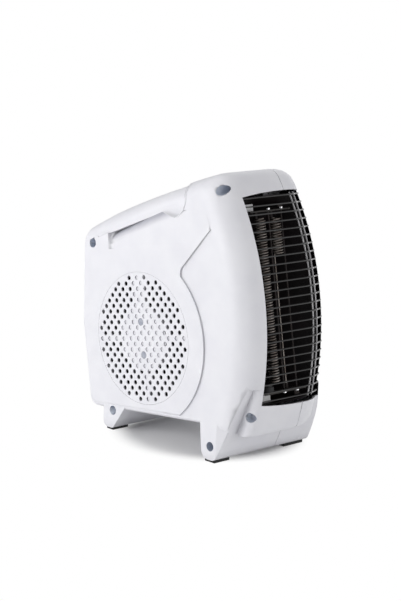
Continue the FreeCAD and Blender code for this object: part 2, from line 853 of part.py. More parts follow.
def make_motor_core():
    core = rod(motor_near() + core_in, motor_far() - core_out, 0, 0, motor_size - 2 * can_wall)
    return core.cut(rod(motor_near(), motor_far(), 0, 0, rotor_size + 2 * fit))


def make_motor_cap():
    far = motor_far()
    cap = rod(far, far + cap_thick, 0, 0, motor_size)
    cap = cap.fuse(rod(far - cap_bush_in, far + cap_bush_out, 0, 0, cap_boss))
    return cap.cut(rod(far - punch, far + punch, 0, 0, cap_bush))


def motor_bushes():
    far = motor_far()
    near = motor_near() + can_base
    bore = shaft_size + 2 * shaft_clear
    return [tube(far - cap_bush_in, far + cap_bush_out, 0, 0, cap_bush, bore),
            tube(near, near + can_bush_long, 0, 0, can_bush, bore)]


def make_motor_shaft():
    return rod(motor_near() + shaft_in, wheel_near + wheel_width + hub_out + shaft_past, 0, 0, shaft_size)


def make_motor_rotor():
    return tube(motor_near() + rotor_in, motor_far() - rotor_out, 0, 0, rotor_size, shaft_size)


def make_wheel_nut():
    far = wheel_near + wheel_width + hub_out
    nut = prism(ring_of(hole_sides, far, 0, 0, nut_radius), nut_thick)
    return nut.cut(rod(far - over, far + punch, 0, 0, shaft_size))


# Element: two plates held apart by posts, with coils strung between hooks
def make_plate(q):
    plate = block(plate_near, plate_far, plate_back, plate_front, q, q + plate_thick)
    holes = [Part.makeCylinder(post_size / 2, punch, at(x, element_p, q - over)) for x in post_places]
    return plate.cut(holes)


def element_posts():
    length = plate_top + plate_thick - plate_floor
    return [Part.makeCylinder(post_size / 2, length, at(x, element_p, plate_floor)) for x in post_places]


def element_rivets():
    return [Part.makeCylinder(rivet_size / 2, rivet_thick, at(x, element_p, q)) for x in post_places
            for q in (plate_floor - rivet_thick, plate_top + plate_thick)]


# Brackets carry the two plates on the duct's roof and floor
def element_brackets():
    back = plate_back + hanger_in
    front = back + hanger_thick
    lift = (back - duct_start + duct_inset) / (duct_end - duct_start + duct_inset)
    roof = duct_top[0] + (duct_top[1] - duct_top[0]) * lift - hanger_gap
    floor = duct_floor[0] + (duct_floor[1] - duct_floor[0]) * lift + hanger_gap
    pieces = []
    for x in (plate_near, plate_far - hanger_wide):
        pieces.append(block(x, x + hanger_wide, back, front, plate_top + plate_thick, roof))
        pieces.append(block(x, x + hanger_wide, back, front, floor, plate_floor))
    return pieces


# Terminals hold the ends of the coils on the plates
def coil_terminals():
    length = coil_lead - coil_wire / 2
    return [Part.makeCylinder(coil_wire, length, at(x, element_p - coil_radius, q)) for x in coil_places
            for q in (plate_floor + plate_thick, plate_top - length)]


# A coil is one unbroken tube: straight ends, then arcs that follow the winding by quarter turns
def arc_from(start, tangent, end):
    chord = end - start
    run = FreeCAD.Vector(chord).normalize()
    off = tangent - run * tangent.dot(run)
    angle = math.acos(max(-1.0, min(1.0, tangent.dot(run))))
    mid = (start + end) * 0.5 + off.normalize() * (chord.Length / 2.0 * math.tan(angle / 2.0))
    return arc(start, mid, end)


def make_coil(x):
    low = plate_floor + plate_thick + coil_lead
    rise = (plate_top - coil_lead - low) / coil_turns

    def spot(turns):
        angle = 2 * math.pi * turns
        p = element_p - coil_radius * math.cos(angle)
        return at(x + coil_radius * math.sin(angle), p, low + rise * turns)

    def heading(turns):
        angle = 2 * math.pi * turns
        run = 2 * math.pi * coil_radius
        return at(run * math.cos(angle), run * math.sin(angle), rise).normalize()

    edges = []
    for k in range(coil_turns * 4):
        a = spot(k / 4.0)
        b = spot((k + 1) / 4.0)
        ta = heading(k / 4.0)
        tb = heading((k + 1) / 4.0)
        span = b - a
        both = span.dot(ta + tb)
        slack = 2.0 * (1.0 - ta.dot(tb))
        size = (-both + math.sqrt(both * both + slack * span.dot(span))) / slack
        mid = (a + b) * 0.5 + (ta - tb) * (size * 0.5)
        edges.append(arc_from(a, ta, mid))
        edges.append(arc_from(b, tb * -1.0, mid))
    return Part.Wire(edges), spot(0), heading(0), spot(coil_turns), heading(coil_turns)


# Distance between points of the wire that lie more than half a turn apart, less the wire's own size
def self_gap(wire):
    steps = 24 * coil_turns
    spots = wire.discretize(steps + 1)
    apart = steps // (2 * coil_turns)
    gaps = [spots[i].distanceToPoint(spots[j]) for i in range(steps) for j in range(i + apart, steps)]
    return min(gaps) - coil_wire


def heating_coils():
    coils = []
    for x in coil_places:
        wire, start, start_run, end, end_run = make_coil(x)
        first = line(start - start_run * coil_stub, start)
        last = line(end, end + end_run * coil_stub)
        coils.append(sweep(Part.Wire([first] + wire.Edges + [last]), coil_wire))
        print("least gap of a coil to itself", round(self_gap(wire), 2))
    return coils


# Cut-out that switches the element off when it gets too hot
def make_cutout():
    base = plate_floor + plate_thick
    place = at(plate_near + cutout_in, element_p - cutout_back, base)
    body = Part.makeCylinder(cutout_radius, cutout_height, place)
    return body.fuse(Part.makeCylinder(cutout_cap_radius, cutout_cap_height, place))


# Controls: bodies behind the far panel, spindles through it, knobs outside
def make_thermostat():
    face = far_x - wall
    half = thermostat_half
    base, top = [face - deep for deep in thermostat_base]
    body = rod(face - thermostat_deep, face, dial_p, thermostat_q, thermostat_size)
    body = body.fuse(block(base, top, dial_p - half, dial_p + half, thermostat_q - half, thermostat_q + half))
    return body.cut(spindle_bearing(thermostat_q))


def make_selector():
    face = far_x - wall
    half_p, half_q = selector_half
    body = block(face - selector_deep, face, dial_p - half_p, dial_p + half_p, selector_q - half_q,
                 selector_q + half_q)
    return body.cut(spindle_bearing(selector_q))


def spindle_bearing(q):
    face = far_x - wall
    return rod(face - bearing_in, face + punch, dial_p, q, spindle_size + 2 * shaft_clear)


def make_spindle(q):
    return rod(far_x - wall - spindle_in, far_x + dial_height - dial_seat, dial_p, q, spindle_size)


def make_knob(q):
    base = far_x + dial_gap
    top = base + dial_height
    skirt = rod(base, base + dial_skirt, dial_p, q, dial_size)
    grip = rod(base, top, dial_p, q, dial_grip)
    half = ridge_wide / 2
    ridge = block(top - ridge_sunk, top + ridge_rise, dial_p - half, dial_p + half, q, q + ridge_long)
    bore = rod(base - over, far_x + dial_height - dial_seat, dial_p, q, spindle_size)
    return carved(joined(skirt, [grip, ridge]), [bore])


def make_lamp():
    lens = rod(far_x - lamp_in, far_x + lamp_out, dial_p, lamp_q, lamp_size)
    return lens.fuse(rod(far_x, far_x + lamp_rim_thick, dial_p, lamp_q, lamp_rim))


def make_terminals():
    face = far_x - wall
    rail = block(face - rail_thick, face, *rail_p, *rail_q)
    low = rail_q[0] + clamp_inset
    high = rail_q[1] - clamp_inset
    clamps = [block(face - clamp_x[0], face - clamp_x[1], p, p + clamp_wide, low, high) for p in clamp_places]
    return joined(rail, clamps)


def make_inlet():
    rear = back_foot[0]
    inside = rear + wall
    ends = [rear + inlet_ends[0], rear + inlet_ends[1], inside + inlet_ends[2], inside + inlet_ends[3]]
    along = at(0, 1, 0)
    rings = []
    for i, grow in enumerate(inlet_grow):
        size = inlet_size + grow
        rings.append(Part.makeCylinder(size / 2, ends[i + 1] - ends[i], at(inlet_x, ends[i], inlet_q), along))
    bore = Part.makeCylinder(inlet_bore, 2 * punch, at(inlet_x, ends[0] - over, inlet_q), along)
    return carved(joined(rings[0], rings[1:]), [bore])


# Rubber feet under the beam ends
def make_foot(side, span):
    length = foot_lengths[0] if side < 0 else foot_lengths[1]
    start = near_x + foot_in if side < 0 else far_x - foot_in - length
    foot = Part.makeBox(length, span[1] - span[0], beam_base, FreeCAD.Vector(start, span[0], 0))
    return foot.makeFillet(foot_round, [e for e in foot.Edges if e.BoundBox.ZMax < 0.01])


nodes = {
    "intake_shell": [make_intake_shell()],
    "control_cover": [make_control_cover()],
    "blower_scroll": [stand(make_blower_scroll()).cut(chin_cutter(wall + fit))],
    "foot_front_near": [make_foot(-1, front_foot)],
    "foot_front_far": [make_foot(1, front_foot)],
    "foot_rear_near": [make_foot(-1, rear_foot)],
    "foot_rear_far": [make_foot(1, rear_foot)],
}
leaning = {
    "intake_grille": [make_intake_grille()],
    "front_guard": [make_guard()],
    "shell_screws": shell_screws(),
    "motor_screws": motor_screws(),
    "fan_wheel": [make_fan_wheel()],
    "wheel_nut": [make_wheel_nut()],
    "motor_bracket": [make_motor_bracket()],
    "motor_can": [make_motor_can()],
    "motor_core": [make_motor_core()],
    "motor_cap": [make_motor_cap()],
    "motor_bushes": motor_bushes(),
    "motor_shaft": [make_motor_shaft()],
    "motor_rotor": [make_motor_rotor()],
    "element_top_plate": [make_plate(plate_top)],
    "element_bottom_plate": [make_plate(plate_floor)],
    "element_posts": element_posts(),
    "element_rivets": element_rivets(),
    "element_brackets": element_brackets(),
    "heating_coils": heating_coils(),
    "coil_terminals": coil_terminals(),
    "thermal_cutout": [make_cutout()],
    "thermostat_body": [make_thermostat()],
    "thermostat_spindle": [make_spindle(thermostat_q)],
    "thermostat_knob": [make_knob(thermostat_q)],
    "selector_body": [make_selector()],
    "selector_spindle": [make_spindle(selector_q)],
    "selector_knob": [make_knob(selector_q)],
    "pilot_lamp": [make_lamp()],
    "terminal_block": [make_terminals()],
    "cord_inlet": [make_inlet()],
}
for name, solids in leaning.items():
    nodes[name] = [stand(solid) for solid in solids]

# The frame's origin goes under the middle of the whole
everything = Part.makeCompound([solid for solids in nodes.values() for solid in solids])
whole = everything.optimalBoundingBox(False, False)
shift = FreeCAD.Vector(-(whole.XMin + whole.XMax) / 2, -(whole.YMin + whole.YMax) / 2, -whole.ZMin)
print("shift", shift, "size", whole.XLength, whole.YLength, whole.ZLength)

os.makedirs("parts", exist_ok=True)
for name, solids in nodes.items():
    shape = Part.makeCompound([piece for solid in solids for piece in solid.Solids])
    shape = shape.Solids[0] if len(shape.Solids) == 1 else shape
    shape.translate(shift)
    shape.exportStep("parts/" + name + ".step")
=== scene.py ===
import json
import math

import bmesh
import bpy
from mathutils import Matrix, Vector
from mathutils.bvhtree import BVHTree


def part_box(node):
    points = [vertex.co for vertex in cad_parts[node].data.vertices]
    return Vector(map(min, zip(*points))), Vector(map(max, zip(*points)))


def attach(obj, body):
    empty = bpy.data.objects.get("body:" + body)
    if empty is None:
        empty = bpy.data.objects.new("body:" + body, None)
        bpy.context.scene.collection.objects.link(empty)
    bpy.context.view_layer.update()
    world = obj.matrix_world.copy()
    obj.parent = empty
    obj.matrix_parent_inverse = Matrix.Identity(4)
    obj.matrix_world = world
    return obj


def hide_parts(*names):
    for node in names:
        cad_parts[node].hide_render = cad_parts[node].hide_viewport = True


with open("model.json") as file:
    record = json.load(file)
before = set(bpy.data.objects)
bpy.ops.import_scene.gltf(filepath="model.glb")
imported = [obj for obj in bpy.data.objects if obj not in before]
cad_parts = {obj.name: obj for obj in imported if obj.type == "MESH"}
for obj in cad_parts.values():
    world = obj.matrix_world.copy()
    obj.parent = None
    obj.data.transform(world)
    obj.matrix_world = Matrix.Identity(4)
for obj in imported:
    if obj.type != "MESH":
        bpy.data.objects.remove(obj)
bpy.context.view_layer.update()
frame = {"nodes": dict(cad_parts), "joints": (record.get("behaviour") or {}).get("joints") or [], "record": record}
scene = bpy.context.scene
mm = 0.001
print("frame loaded", len(frame["nodes"]), "nodes")

# the case leans back about the intake axis, which the fan's joint gives
stance = {"leanDegrees": 10.72}
fanJoint = next(joint for joint in frame["joints"] if joint["name"] == "fan_spin")
intakeAxis = Vector(fanJoint["pos_m"])
leanTurn = Matrix.Rotation(-math.radians(stance["leanDegrees"]), 4, "X")
leanBack = leanTurn.inverted()
leanUp = leanTurn.to_3x3() @ Vector((0, 0, 1))
leanFront = leanTurn.to_3x3() @ Vector((0, -1, 0))


def leaned(across, forward, up):
    # across from the frame's origin, forward and up from the intake axis, in millimetres along the lean
    offset = leanTurn @ Vector((0, -forward * mm, up * mm))
    return Vector((across * mm, intakeAxis.y + offset.y, intakeAxis.z + offset.z))


def unleaned(point):
    offset = leanBack @ (point - intakeAxis)
    return point.x / mm, -offset.y / mm, offset.z / mm


def linear(hexColor):
    channels = [int(hexColor[i:i + 2], 16) / 255 for i in (1, 3, 5)]
    return tuple(c / 12.92 if c <= 0.04045 else ((c + 0.055) / 1.055) ** 2.4 for c in channels) + (1,)


def addNode(tree, kind, settings=None, **links):
    node = tree.nodes.new(kind)
    for key, value in (settings or {}).items():
        if hasattr(node, key):
            setattr(node, key, value)
        else:
            node.inputs[key].default_value = value
    for socket, source in links.items():
        tree.links.new(source, node.inputs[socket.replace("_", " ")])
    return node


# what all finishes share: where the two tones part, how ragged patches and grain are, and how much of the
# relief and of the painted shade in closed corners shows
finish = {"toneSpots": (0.34, 0.66), "patchDetail": 4.0, "grainDetail": 2.0, "reliefShare": 0.6,
          "cornerShadeShare": 0.35, "cornerShadeSamples": 8}


def newMaterial(name, tones, patchMm, rough, grainMm, bumpMm, stretch=(1, 1, 1), cornerShadeMm=0, **settings):
    # two close tones in soft patches, a roughness that follows them and a grain in relief, which is drawn
    # coarser than the real one so that it shows
    material = bpy.data.materials.new(name)
    material.use_nodes = True
    tree = material.node_tree
    shader = tree.nodes["Principled BSDF"]
    for key, value in settings.items():
        shader.inputs[key.replace("_", " ")].default_value = value
    place = addNode(tree, "ShaderNodeTexCoord")
    drawn = addNode(tree, "ShaderNodeMapping", {"Scale": stretch}, Vector=place.outputs["Object"])
    patches = addNode(tree, "ShaderNodeTexNoise",
                      {"Scale": 1 / (patchMm * mm), "Detail": finish["patchDetail"]},
                      Vector=drawn.outputs["Vector"])
    tone = addNode(tree, "ShaderNodeValToRGB", None, Fac=patches.outputs["Fac"])
    for element, hexColor, spot in zip(tone.color_ramp.elements, tones, finish["toneSpots"]):
        element.color = linear(hexColor)
        element.position = spot
    colour = tone.outputs["Color"]
    # painted shade: the colour is darkened wherever ambient occlusion finds closed corners and hollows
    if cornerShadeMm:
        closed = addNode(tree, "ShaderNodeAmbientOcclusion",
                         {"samples": finish["cornerShadeSamples"], "Distance": cornerShadeMm * mm}, Color=colour)
        shaded = addNode(tree, "ShaderNodeMixRGB", {"Fac": finish["cornerShadeShare"]}, Color1=colour,
                         Color2=closed.outputs["Color"])
        colour = shaded.outputs[0]
    tree.links.new(colour, shader.inputs["Base Color"])
    dullness = addNode(tree, "ShaderNodeMapRange", {"To Min": rough[0], "To Max": rough[1]},
                       Value=patches.outputs["Fac"])
    tree.links.new(dullness.outputs["Result"], shader.inputs["Roughness"])
    grain = addNode(tree, "ShaderNodeTexNoise",
                    {"Scale": 1 / (grainMm * mm), "Detail": finish["grainDetail"]},
                    Vector=drawn.outputs["Vector"])
    relief = addNode(tree, "ShaderNodeBump", {"Strength": finish["reliefShare"], "Distance": bumpMm * mm},
                     Height=grain.outputs["Fac"])
    tree.links.new(relief.outputs["Normal"], shader.inputs["Normal"])
    return material


# ABS from a spark-eroded mould: an even satin, barely mottled, with painted shade darkening its closed corners
whiteCase = newMaterial("whiteMouldedAbs", ("#e9e9ef", "#eeeef3"), patchMm=25, rough=(0.40, 0.48),
                        grainMm=0.9, bumpMm=0.02, cornerShadeMm=12, IOR=1.53)
# the same moulding under the handle, coloured greyer: painted shade of the recess under the bar
scoopCase = newMaterial("scoopPaintedShadeAbs", ("#b0b0ba", "#bcbcc6"), patchMm=12, rough=(0.48, 0.58),
                        grainMm=0.9, bumpMm=0.02, cornerShadeMm=45, IOR=1.53)
# the painted shade deepens inward, from the panel to the foot of the bar
scoopShadeFade = {"paleHex": "#ebebf1", "fromMm": -65.3, "toMm": -57.5}
scoopShadeTree = scoopCase.node_tree
scoopShadeColour = scoopShadeTree.nodes["Principled BSDF"].inputs["Base Color"]
scoopShadeTone = scoopShadeColour.links[0].from_socket
scoopShadePlace = scoopShadeTree.nodes["Texture Coordinate"].outputs["Object"]
inward = addNode(scoopShadeTree, "ShaderNodeSeparateXYZ", None, Vector=scoopShadePlace)
depth = addNode(scoopShadeTree, "ShaderNodeMapRange",
                {"From Min": scoopShadeFade["fromMm"] * mm, "From Max": scoopShadeFade["toMm"] * mm}, Value=inward.outputs["X"])
blend = addNode(scoopShadeTree, "ShaderNodeMixRGB", {"Color1": linear(scoopShadeFade["paleHex"])},
                Fac=depth.outputs["Result"], Color2=scoopShadeTone)
scoopShadeTree.links.new(blend.outputs[0], scoopShadeColour)
# the walls of the wells are coloured duller and greyer: painted shade inside the deep wells
wellShadeGrey = newMaterial("wellPaintedShadeAbs", ("#b8c0d0", "#c8ced9"), patchMm=3, rough=(0.55, 0.68), grainMm=0.7,
                       bumpMm=0.03, IOR=1.53)
# steel wire dipped in enamel: smooth black, thicker in places
blackWire = newMaterial("blackEnamelledWire", ("#121113", "#1d1c1e"), patchMm=6, rough=(0.24, 0.36),
                        grainMm=1.5, bumpMm=0.02, IOR=1.6)
# the two far uprights are coloured bright grey: a painted reflection on the black wire
uprightReflectionGrey = newMaterial("uprightPaintedReflection", ("#b9b8bb", "#dad9db"), patchMm=5, rough=(0.3, 0.45), grainMm=1.0,
                         bumpMm=0.02)
# zinc plate on screws: blue-grey and cloudy
zincSteel = newMaterial("zincPlatedSteel", ("#9a9eac", "#b0b3be"), patchMm=2.5, rough=(0.42, 0.6),
                        grainMm=0.5, bumpMm=0.02, Metallic=0.2)
# rivets upset cold: bright and faintly dimpled
rivetSteel = newMaterial("brightRivetSteel", ("#d9d9dc", "#f2f2f4"), patchMm=2, rough=(0.18, 0.3),
                         grainMm=0.6, bumpMm=0.03, Metallic=1.0)
# sheet tanned by heat: dark, with a brown bloom
heatSteel = newMaterial("heatTannedSteel", ("#241f20", "#352d2c"), patchMm=7, rough=(0.5, 0.7), grainMm=0.6,
                        bumpMm=0.02, Metallic=0.5)
# stove paint on sheet: dull black with a red-brown cast where it has been hot
ductPaint = newMaterial("stovePaintedSheet", ("#050304", "#10070a"), patchMm=30, rough=(0.5, 0.65),
                        grainMm=0.8, bumpMm=0.03, Specular_IOR_Level=0.2)
# mica board: layered flakes, coloured dark: painted shade, as the boards lie in shadow behind the guard
shadedMicaBoard = newMaterial("micaPaintedShade", ("#1d1a19", "#332e2b"), patchMm=5, rough=(0.5, 0.7), grainMm=1.2,
                        bumpMm=0.05)
# the near ends of the boards, coloured pale: painted light on the mica where those ends catch the lamps
litMicaEnd = newMaterial("micaPaintedLight", ("#dcdce0", "#f2f2f2"), patchMm=4, rough=(0.4, 0.55), grainMm=0.6,
                      bumpMm=0.02)
# resistance wire: drawn alloy, oxidised brown-grey in bands
coilAlloy = newMaterial("resistanceAlloy", ("#675d57", "#a39c97"), patchMm=9, rough=(0.28, 0.45),
                        grainMm=0.6, bumpMm=0.02, Metallic=0.8)
# moulded rubber: black with a dull bloom
footRubber = newMaterial("mouldedRubber", ("#0d0d0e", "#1a1a1b"), patchMm=6, rough=(0.7, 0.85), grainMm=0.8,
                         bumpMm=0.04)
# glass-filled nylon: black, half dull
blackNylon = newMaterial("mouldedNylon", ("#101012", "#1d1d20"), patchMm=9, rough=(0.5, 0.65), grainMm=0.7,
                         bumpMm=0.03)
# brass turned on the lathe and left plain: warm yellow with a soft shine
turnedBrass = newMaterial("turnedBrass", ("#a9863f", "#c9a765"), patchMm=4, rough=(0.25, 0.42), grainMm=0.5,
                          bumpMm=0.02, Metallic=1.0)
# plated motor steel: grey, streaked along the motor's axis
motorSteel = newMaterial("platedMotorSteel", ("#8d9098", "#adafb6"), patchMm=5, rough=(0.3, 0.45),
                         grainMm=0.5, bumpMm=0.02, stretch=(0.15, 1, 1), Metallic=1.0)
# polycarbonate lens: deep red, smooth and glossy
redLens = newMaterial("redPolycarbonate", ("#b01a14", "#d43a2c"), patchMm=3, rough=(0.1, 0.2), grainMm=0.9,
                      bumpMm=0.03, IOR=1.58)
# pad-printed ink: grey, slightly raised and matt
printInk = newMaterial("padPrintedInk", ("#55565c", "#686a70"), patchMm=1.5, rough=(0.6, 0.75), grainMm=0.4,
                       bumpMm=0.01)
print("materials made", len(bpy.data.materials))

slotLooks = {
    "white_plastic": whiteCase, "black_wire": blackWire, "steel": zincSteel, "dark_duct": ductPaint,
    "mica": shadedMicaBoard, "heater_wire": coilAlloy, "rubber": footRubber, "black_plastic": blackNylon,
    "brass": turnedBrass, "motor_steel": motorSteel, "red_lens": redLens,
}
nodeLooks = {
    "element_rivets": rivetSteel, "element_posts": heatSteel, "element_brackets": heatSteel,
    "coil_terminals": heatSteel, "thermal_cutout": blackNylon, "motor_bracket": whiteCase,
}
nodeSlot = {row["node"]: row["material_slot"] for row in frame["record"]["subparts"]}
nodeBody = {node: body for body, nodes in frame["record"]["behaviour"]["bodies"].items() for node in nodes}


def addPiece(name, bm, body, slot, materials=None, replaced=(), smoothDegrees=35):
    mesh = bpy.data.meshes.new(name)
    bm.to_mesh(mesh)
    bm.free()
    for material in materials or [slotLooks[slot]]:
        mesh.materials.append(material)
    mesh.shade_smooth()
    mesh.set_sharp_from_angle(angle=math.radians(smoothDegrees))
    piece = bpy.data.objects.new(name, mesh)
    scene.collection.objects.link(piece)
    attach(piece, body)
    if replaced:
        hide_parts(*replaced)
    return piece


def addBlock(bm, across, forward, up, bevelMm):
    # a block along the lean, from the lower to the higher value of each span, with softened edges
    block = bmesh.ops.create_cube(bm, size=1)["verts"]
    for vert in block:
        spans = zip((across, forward, up), (vert.co.x, -vert.co.y, vert.co.z))
        vert.co = leaned(*[(low + high) / 2 + share * (high - low) for (low, high), share in spans])
    edges = list({edge for vert in block for edge in vert.link_edges})
    bmesh.ops.bevel(bm, geom=edges, offset=bevelMm * mm, segments=2, profile=0.5, affect="EDGES", material=-1)


# a solid's own facets are merged and shaded as one smooth skin
smoothing = {"mergeMm": 0.004, "sharpDegrees": 30, "flatDegrees": 0.03}
wells = {"reachMm": 4.45}
scoop = {"facing": (-0.69, 0.29, 0.67), "withinDegrees": 6, "lowMm": 85, "highMm": 106, "risePerMm": 0.17}
uprights = {"acrossMm": (17.6, 23.7), "halfMm": 0.72}


def mergedMesh(node):
    bm = bmesh.new()
    bm.from_mesh(frame["nodes"][node].data)
    bmesh.ops.remove_doubles(bm, verts=bm.verts, dist=smoothing["mergeMm"] * mm)
    return bm


def solidPoints(node):
    # the points of each solid in a node, found by walking along its edges
    bm = mergedMesh(node)
    groups = []
    left = set(bm.verts)
    while left:
        front = [left.pop()]
        group = list(front)
        while front:
            vert = front.pop()
            for edge in vert.link_edges:
                other = edge.other_vert(vert)
                if other in left:
                    left.remove(other)
                    group.append(other)
                    front.append(other)
        groups.append([vert.co.copy() for vert in group])
    bm.free()
    return groups


def solidMiddle(points):
    low = Vector([min(point[i] for point in points) for i in range(3)])
    high = Vector([max(point[i] for point in points) for i in range(3)])
    return (low + high) / 2


screwMiddles = [solidMiddle(points) for points in solidPoints("shell_screws")]


def inWell(face):
    def inside(vert, middle):
        return math.hypot(vert.co.y - middle.y, vert.co.z - middle.z) < wells["reachMm"] * mm
    return any(all(inside(vert, middle) for vert in face.verts) for middle in screwMiddles)


def caseLook(face):
    # the wells take the second finish and the ramp under the handle the third, both painted shade
    if inWell(face):
        return 1
    forward, up = unleaned(face.calc_center_median())[1:]
    aside = face.normal.angle(Vector(scoop["facing"]), math.pi)
    inRamp = scoop["lowMm"] < up < scoop["highMm"] + forward * scoop["risePerMm"]
    if inRamp and aside < math.radians(scoop["withinDegrees"]):
        return 2
    return 0


def guardLook(face):
    # the two far uprights take the second finish, the painted reflection
    across = face.calc_center_median().x / mm
    return int(any(abs(across - middle) < uprights["halfMm"] for middle in uprights["acrossMm"]))


def skinMesh(node):
    bm = mergedMesh(node)
    bmesh.ops.dissolve_limit(bm, angle_limit=math.radians(smoothing["flatDegrees"]), verts=bm.verts,
                             edges=bm.edges, delimit={"NORMAL"})
    return bm


def smoothSkin(node, name, materials=None, look=None):
    bm = skinMesh(node)
    if look:
        for face in bm.faces:
            face.material_index = look(face)
    piece = addPiece(name, bm, nodeBody[node], nodeSlot[node], materials, [node], smoothing["sharpDegrees"])
    piece.modifiers.new("evenShade", "WEIGHTED_NORMAL").keep_sharp = True
    return piece


skinRows = [
    ("intake_shell", "caseNearHalf", [whiteCase, wellShadeGrey, scoopCase], caseLook),
    ("control_cover", "caseFarHalf"),
    ("front_guard", "wireGuard", [blackWire, uprightReflectionGrey], guardLook),
    ("thermostat_knob", "thermostatKnob"),
    ("selector_knob", "selectorKnob"),
    ("fan_wheel", "drumWheel"),
]
skins = {row[0]: smoothSkin(*row) for row in skinRows}
print("skins smoothed", len(skins))

# a thin bead on each side where the handle runs into the body, laid where a ray from that side meets the case
bead = {"wideMm": 1.8, "sides": 8, "sinkMm": 0.25, "endShare": 0.45, "rayFromMm": 200,
        "pathMm": [(58.6, 105.8), (63.2, 108.9), (67.4, 112.1), (70.0, 116.3), (72.1, 120.5), (72.6, 124.4),
                   (72.2, 128.0), (71.0, 131.0)]}
beadBm = bmesh.new()
for half, toward in ((skins["intake_shell"], 1), (skins["control_cover"], -1)):
    caseTree = BVHTree.FromPolygons([vert.co for vert in half.data.vertices],
                                    [face.vertices for face in half.data.polygons])
    line = []
    for forward, up in bead["pathMm"]:
        rayStart = leaned(-bead["rayFromMm"] * toward, forward, up)
        hit = caseTree.ray_cast(rayStart, Vector((toward, 0, 0)))[0]
        line.append(hit + Vector((toward * bead["sinkMm"] * mm, 0, 0)))
    last = len(line) - 1
    rings = []
    for k, spot in enumerate(line):
        along = (line[min(k + 1, last)] - line[max(k - 1, 0)]).normalized()
        size = bead["wideMm"] * (bead["endShare"] if k in (0, last) else 1)
        ringPlace = Matrix.Translation(spot) @ along.to_track_quat("Z", "Y").to_matrix().to_4x4()
        rings.append(bmesh.ops.create_circle(beadBm, segments=bead["sides"], radius=size * mm / 2,
                                             matrix=ringPlace)["verts"])
    for here, there in zip(rings, rings[1:]):
        both = set(here + there)
        edges = {edge for vert in both for edge in vert.link_edges if edge.is_wire or edge.is_boundary}
        bmesh.ops.bridge_loops(beadBm, edges=[edge for edge in edges if both.issuperset(edge.verts)])
    beadBm.faces.new(rings[0])
    beadBm.faces.new(rings[-1])
bmesh.ops.recalc_face_normals(beadBm, faces=beadBm.faces)
addPiece("gripBead", beadBm, "heater", "white_plastic", smoothDegrees=60)
print("grip beads laid")

# the guard is sprung out: its bars lie flush with the front between their ends
spring = {"outMm": 3.0, "nearMm": (-43.2, -37.0), "bendMm": 10.1, "radiusMm": 43.0,
          "farDegrees": (46.0, 53.0), "bowMm": (261.0, -125.5, 28.0)}
bowRadius, bowForward, bowUp = spring["bowMm"]


def eased(value, low, high):
    share = min(max((value - low) / (high - low), 0), 1)
    return share * share * (3 - 2 * share)


for vert in skins["front_guard"].data.vertices:
    across, forward, up = unleaned(vert.co)
    front = bowForward + math.sqrt(bowRadius ** 2 - (up - bowUp) ** 2)
    angle = math.atan2(max(across - spring["bendMm"], 0), forward - front + spring["radiusMm"])
    out = spring["outMm"] * eased(across, *spring["nearMm"])
    out *= 1 - eased(math.degrees(angle), *spring["farDegrees"])
    vert.co = leaned(across + out * math.sin(angle), forward + out * math.cos(angle), up)
print("guard sprung")

# a black sheet covers the inside of the far half behind the guard, where it looks back or to the near side:
# painted shade over the white case, which lies in shadow there
shadeSheet = {"forwardMm": 76, "lowMm": -75, "highMm": 128, "acrossMm": 5, "backShare": 0.25, "nearShare": 0.5,
         "clearMm": 0.25, "thickMm": 0.15}
shadeSheetBm = skinMesh("control_cover")
unlined = []
for face in shadeSheetBm.faces:
    across, forward, up = unleaned(face.calc_center_median())
    facing = leanBack @ face.normal
    facesIn = facing.y > shadeSheet["backShare"] or facing.x < -shadeSheet["nearShare"]
    inReach = forward > shadeSheet["forwardMm"] and across > shadeSheet["acrossMm"]
    if not (facesIn and inReach and shadeSheet["lowMm"] < up < shadeSheet["highMm"]):
        unlined.append(face)
bmesh.ops.delete(shadeSheetBm, geom=unlined, context="FACES")
for vert in shadeSheetBm.verts:
    vert.co += vert.normal * shadeSheet["clearMm"] * mm
bmesh.ops.solidify(shadeSheetBm, geom=shadeSheetBm.faces, thickness=-shadeSheet["thickMm"] * mm)
addPiece("openingShadeSheet", shadeSheetBm, "heater", "dark_duct")
print("liner laid")

# round-holed intake plate on the staggered pitch of the solid one
plate = {"pitchMm": 5.0, "holeMm": 4.2, "screwSeatMm": 6.8, "reachSteps": 11.2, "screwRow": 3,
         "radiusMm": 60.0, "thickMm": 1.0, "sides": 16, "rimSides": 96, "bandMm": 1.5}
plateBm = bmesh.new()
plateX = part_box("intake_grille")[0][0] / mm
corners = {}


def plateVert(forward, up):
    key = (round(forward, 3), round(up, 3))
    if key not in corners:
        corners[key] = plateBm.verts.new(leaned(plateX, forward, up))
    return corners[key]


def circleVerts(forward, up, radius, sides):
    angles = [2 * math.pi * k / sides for k in range(sides)]
    return [plateVert(forward + radius * math.cos(angle), up + radius * math.sin(angle)) for angle in angles]


def closedEdges(verts):
    return [plateBm.edges.new((vert, verts[(k + 1) % len(verts)])) for k, vert in enumerate(verts)]


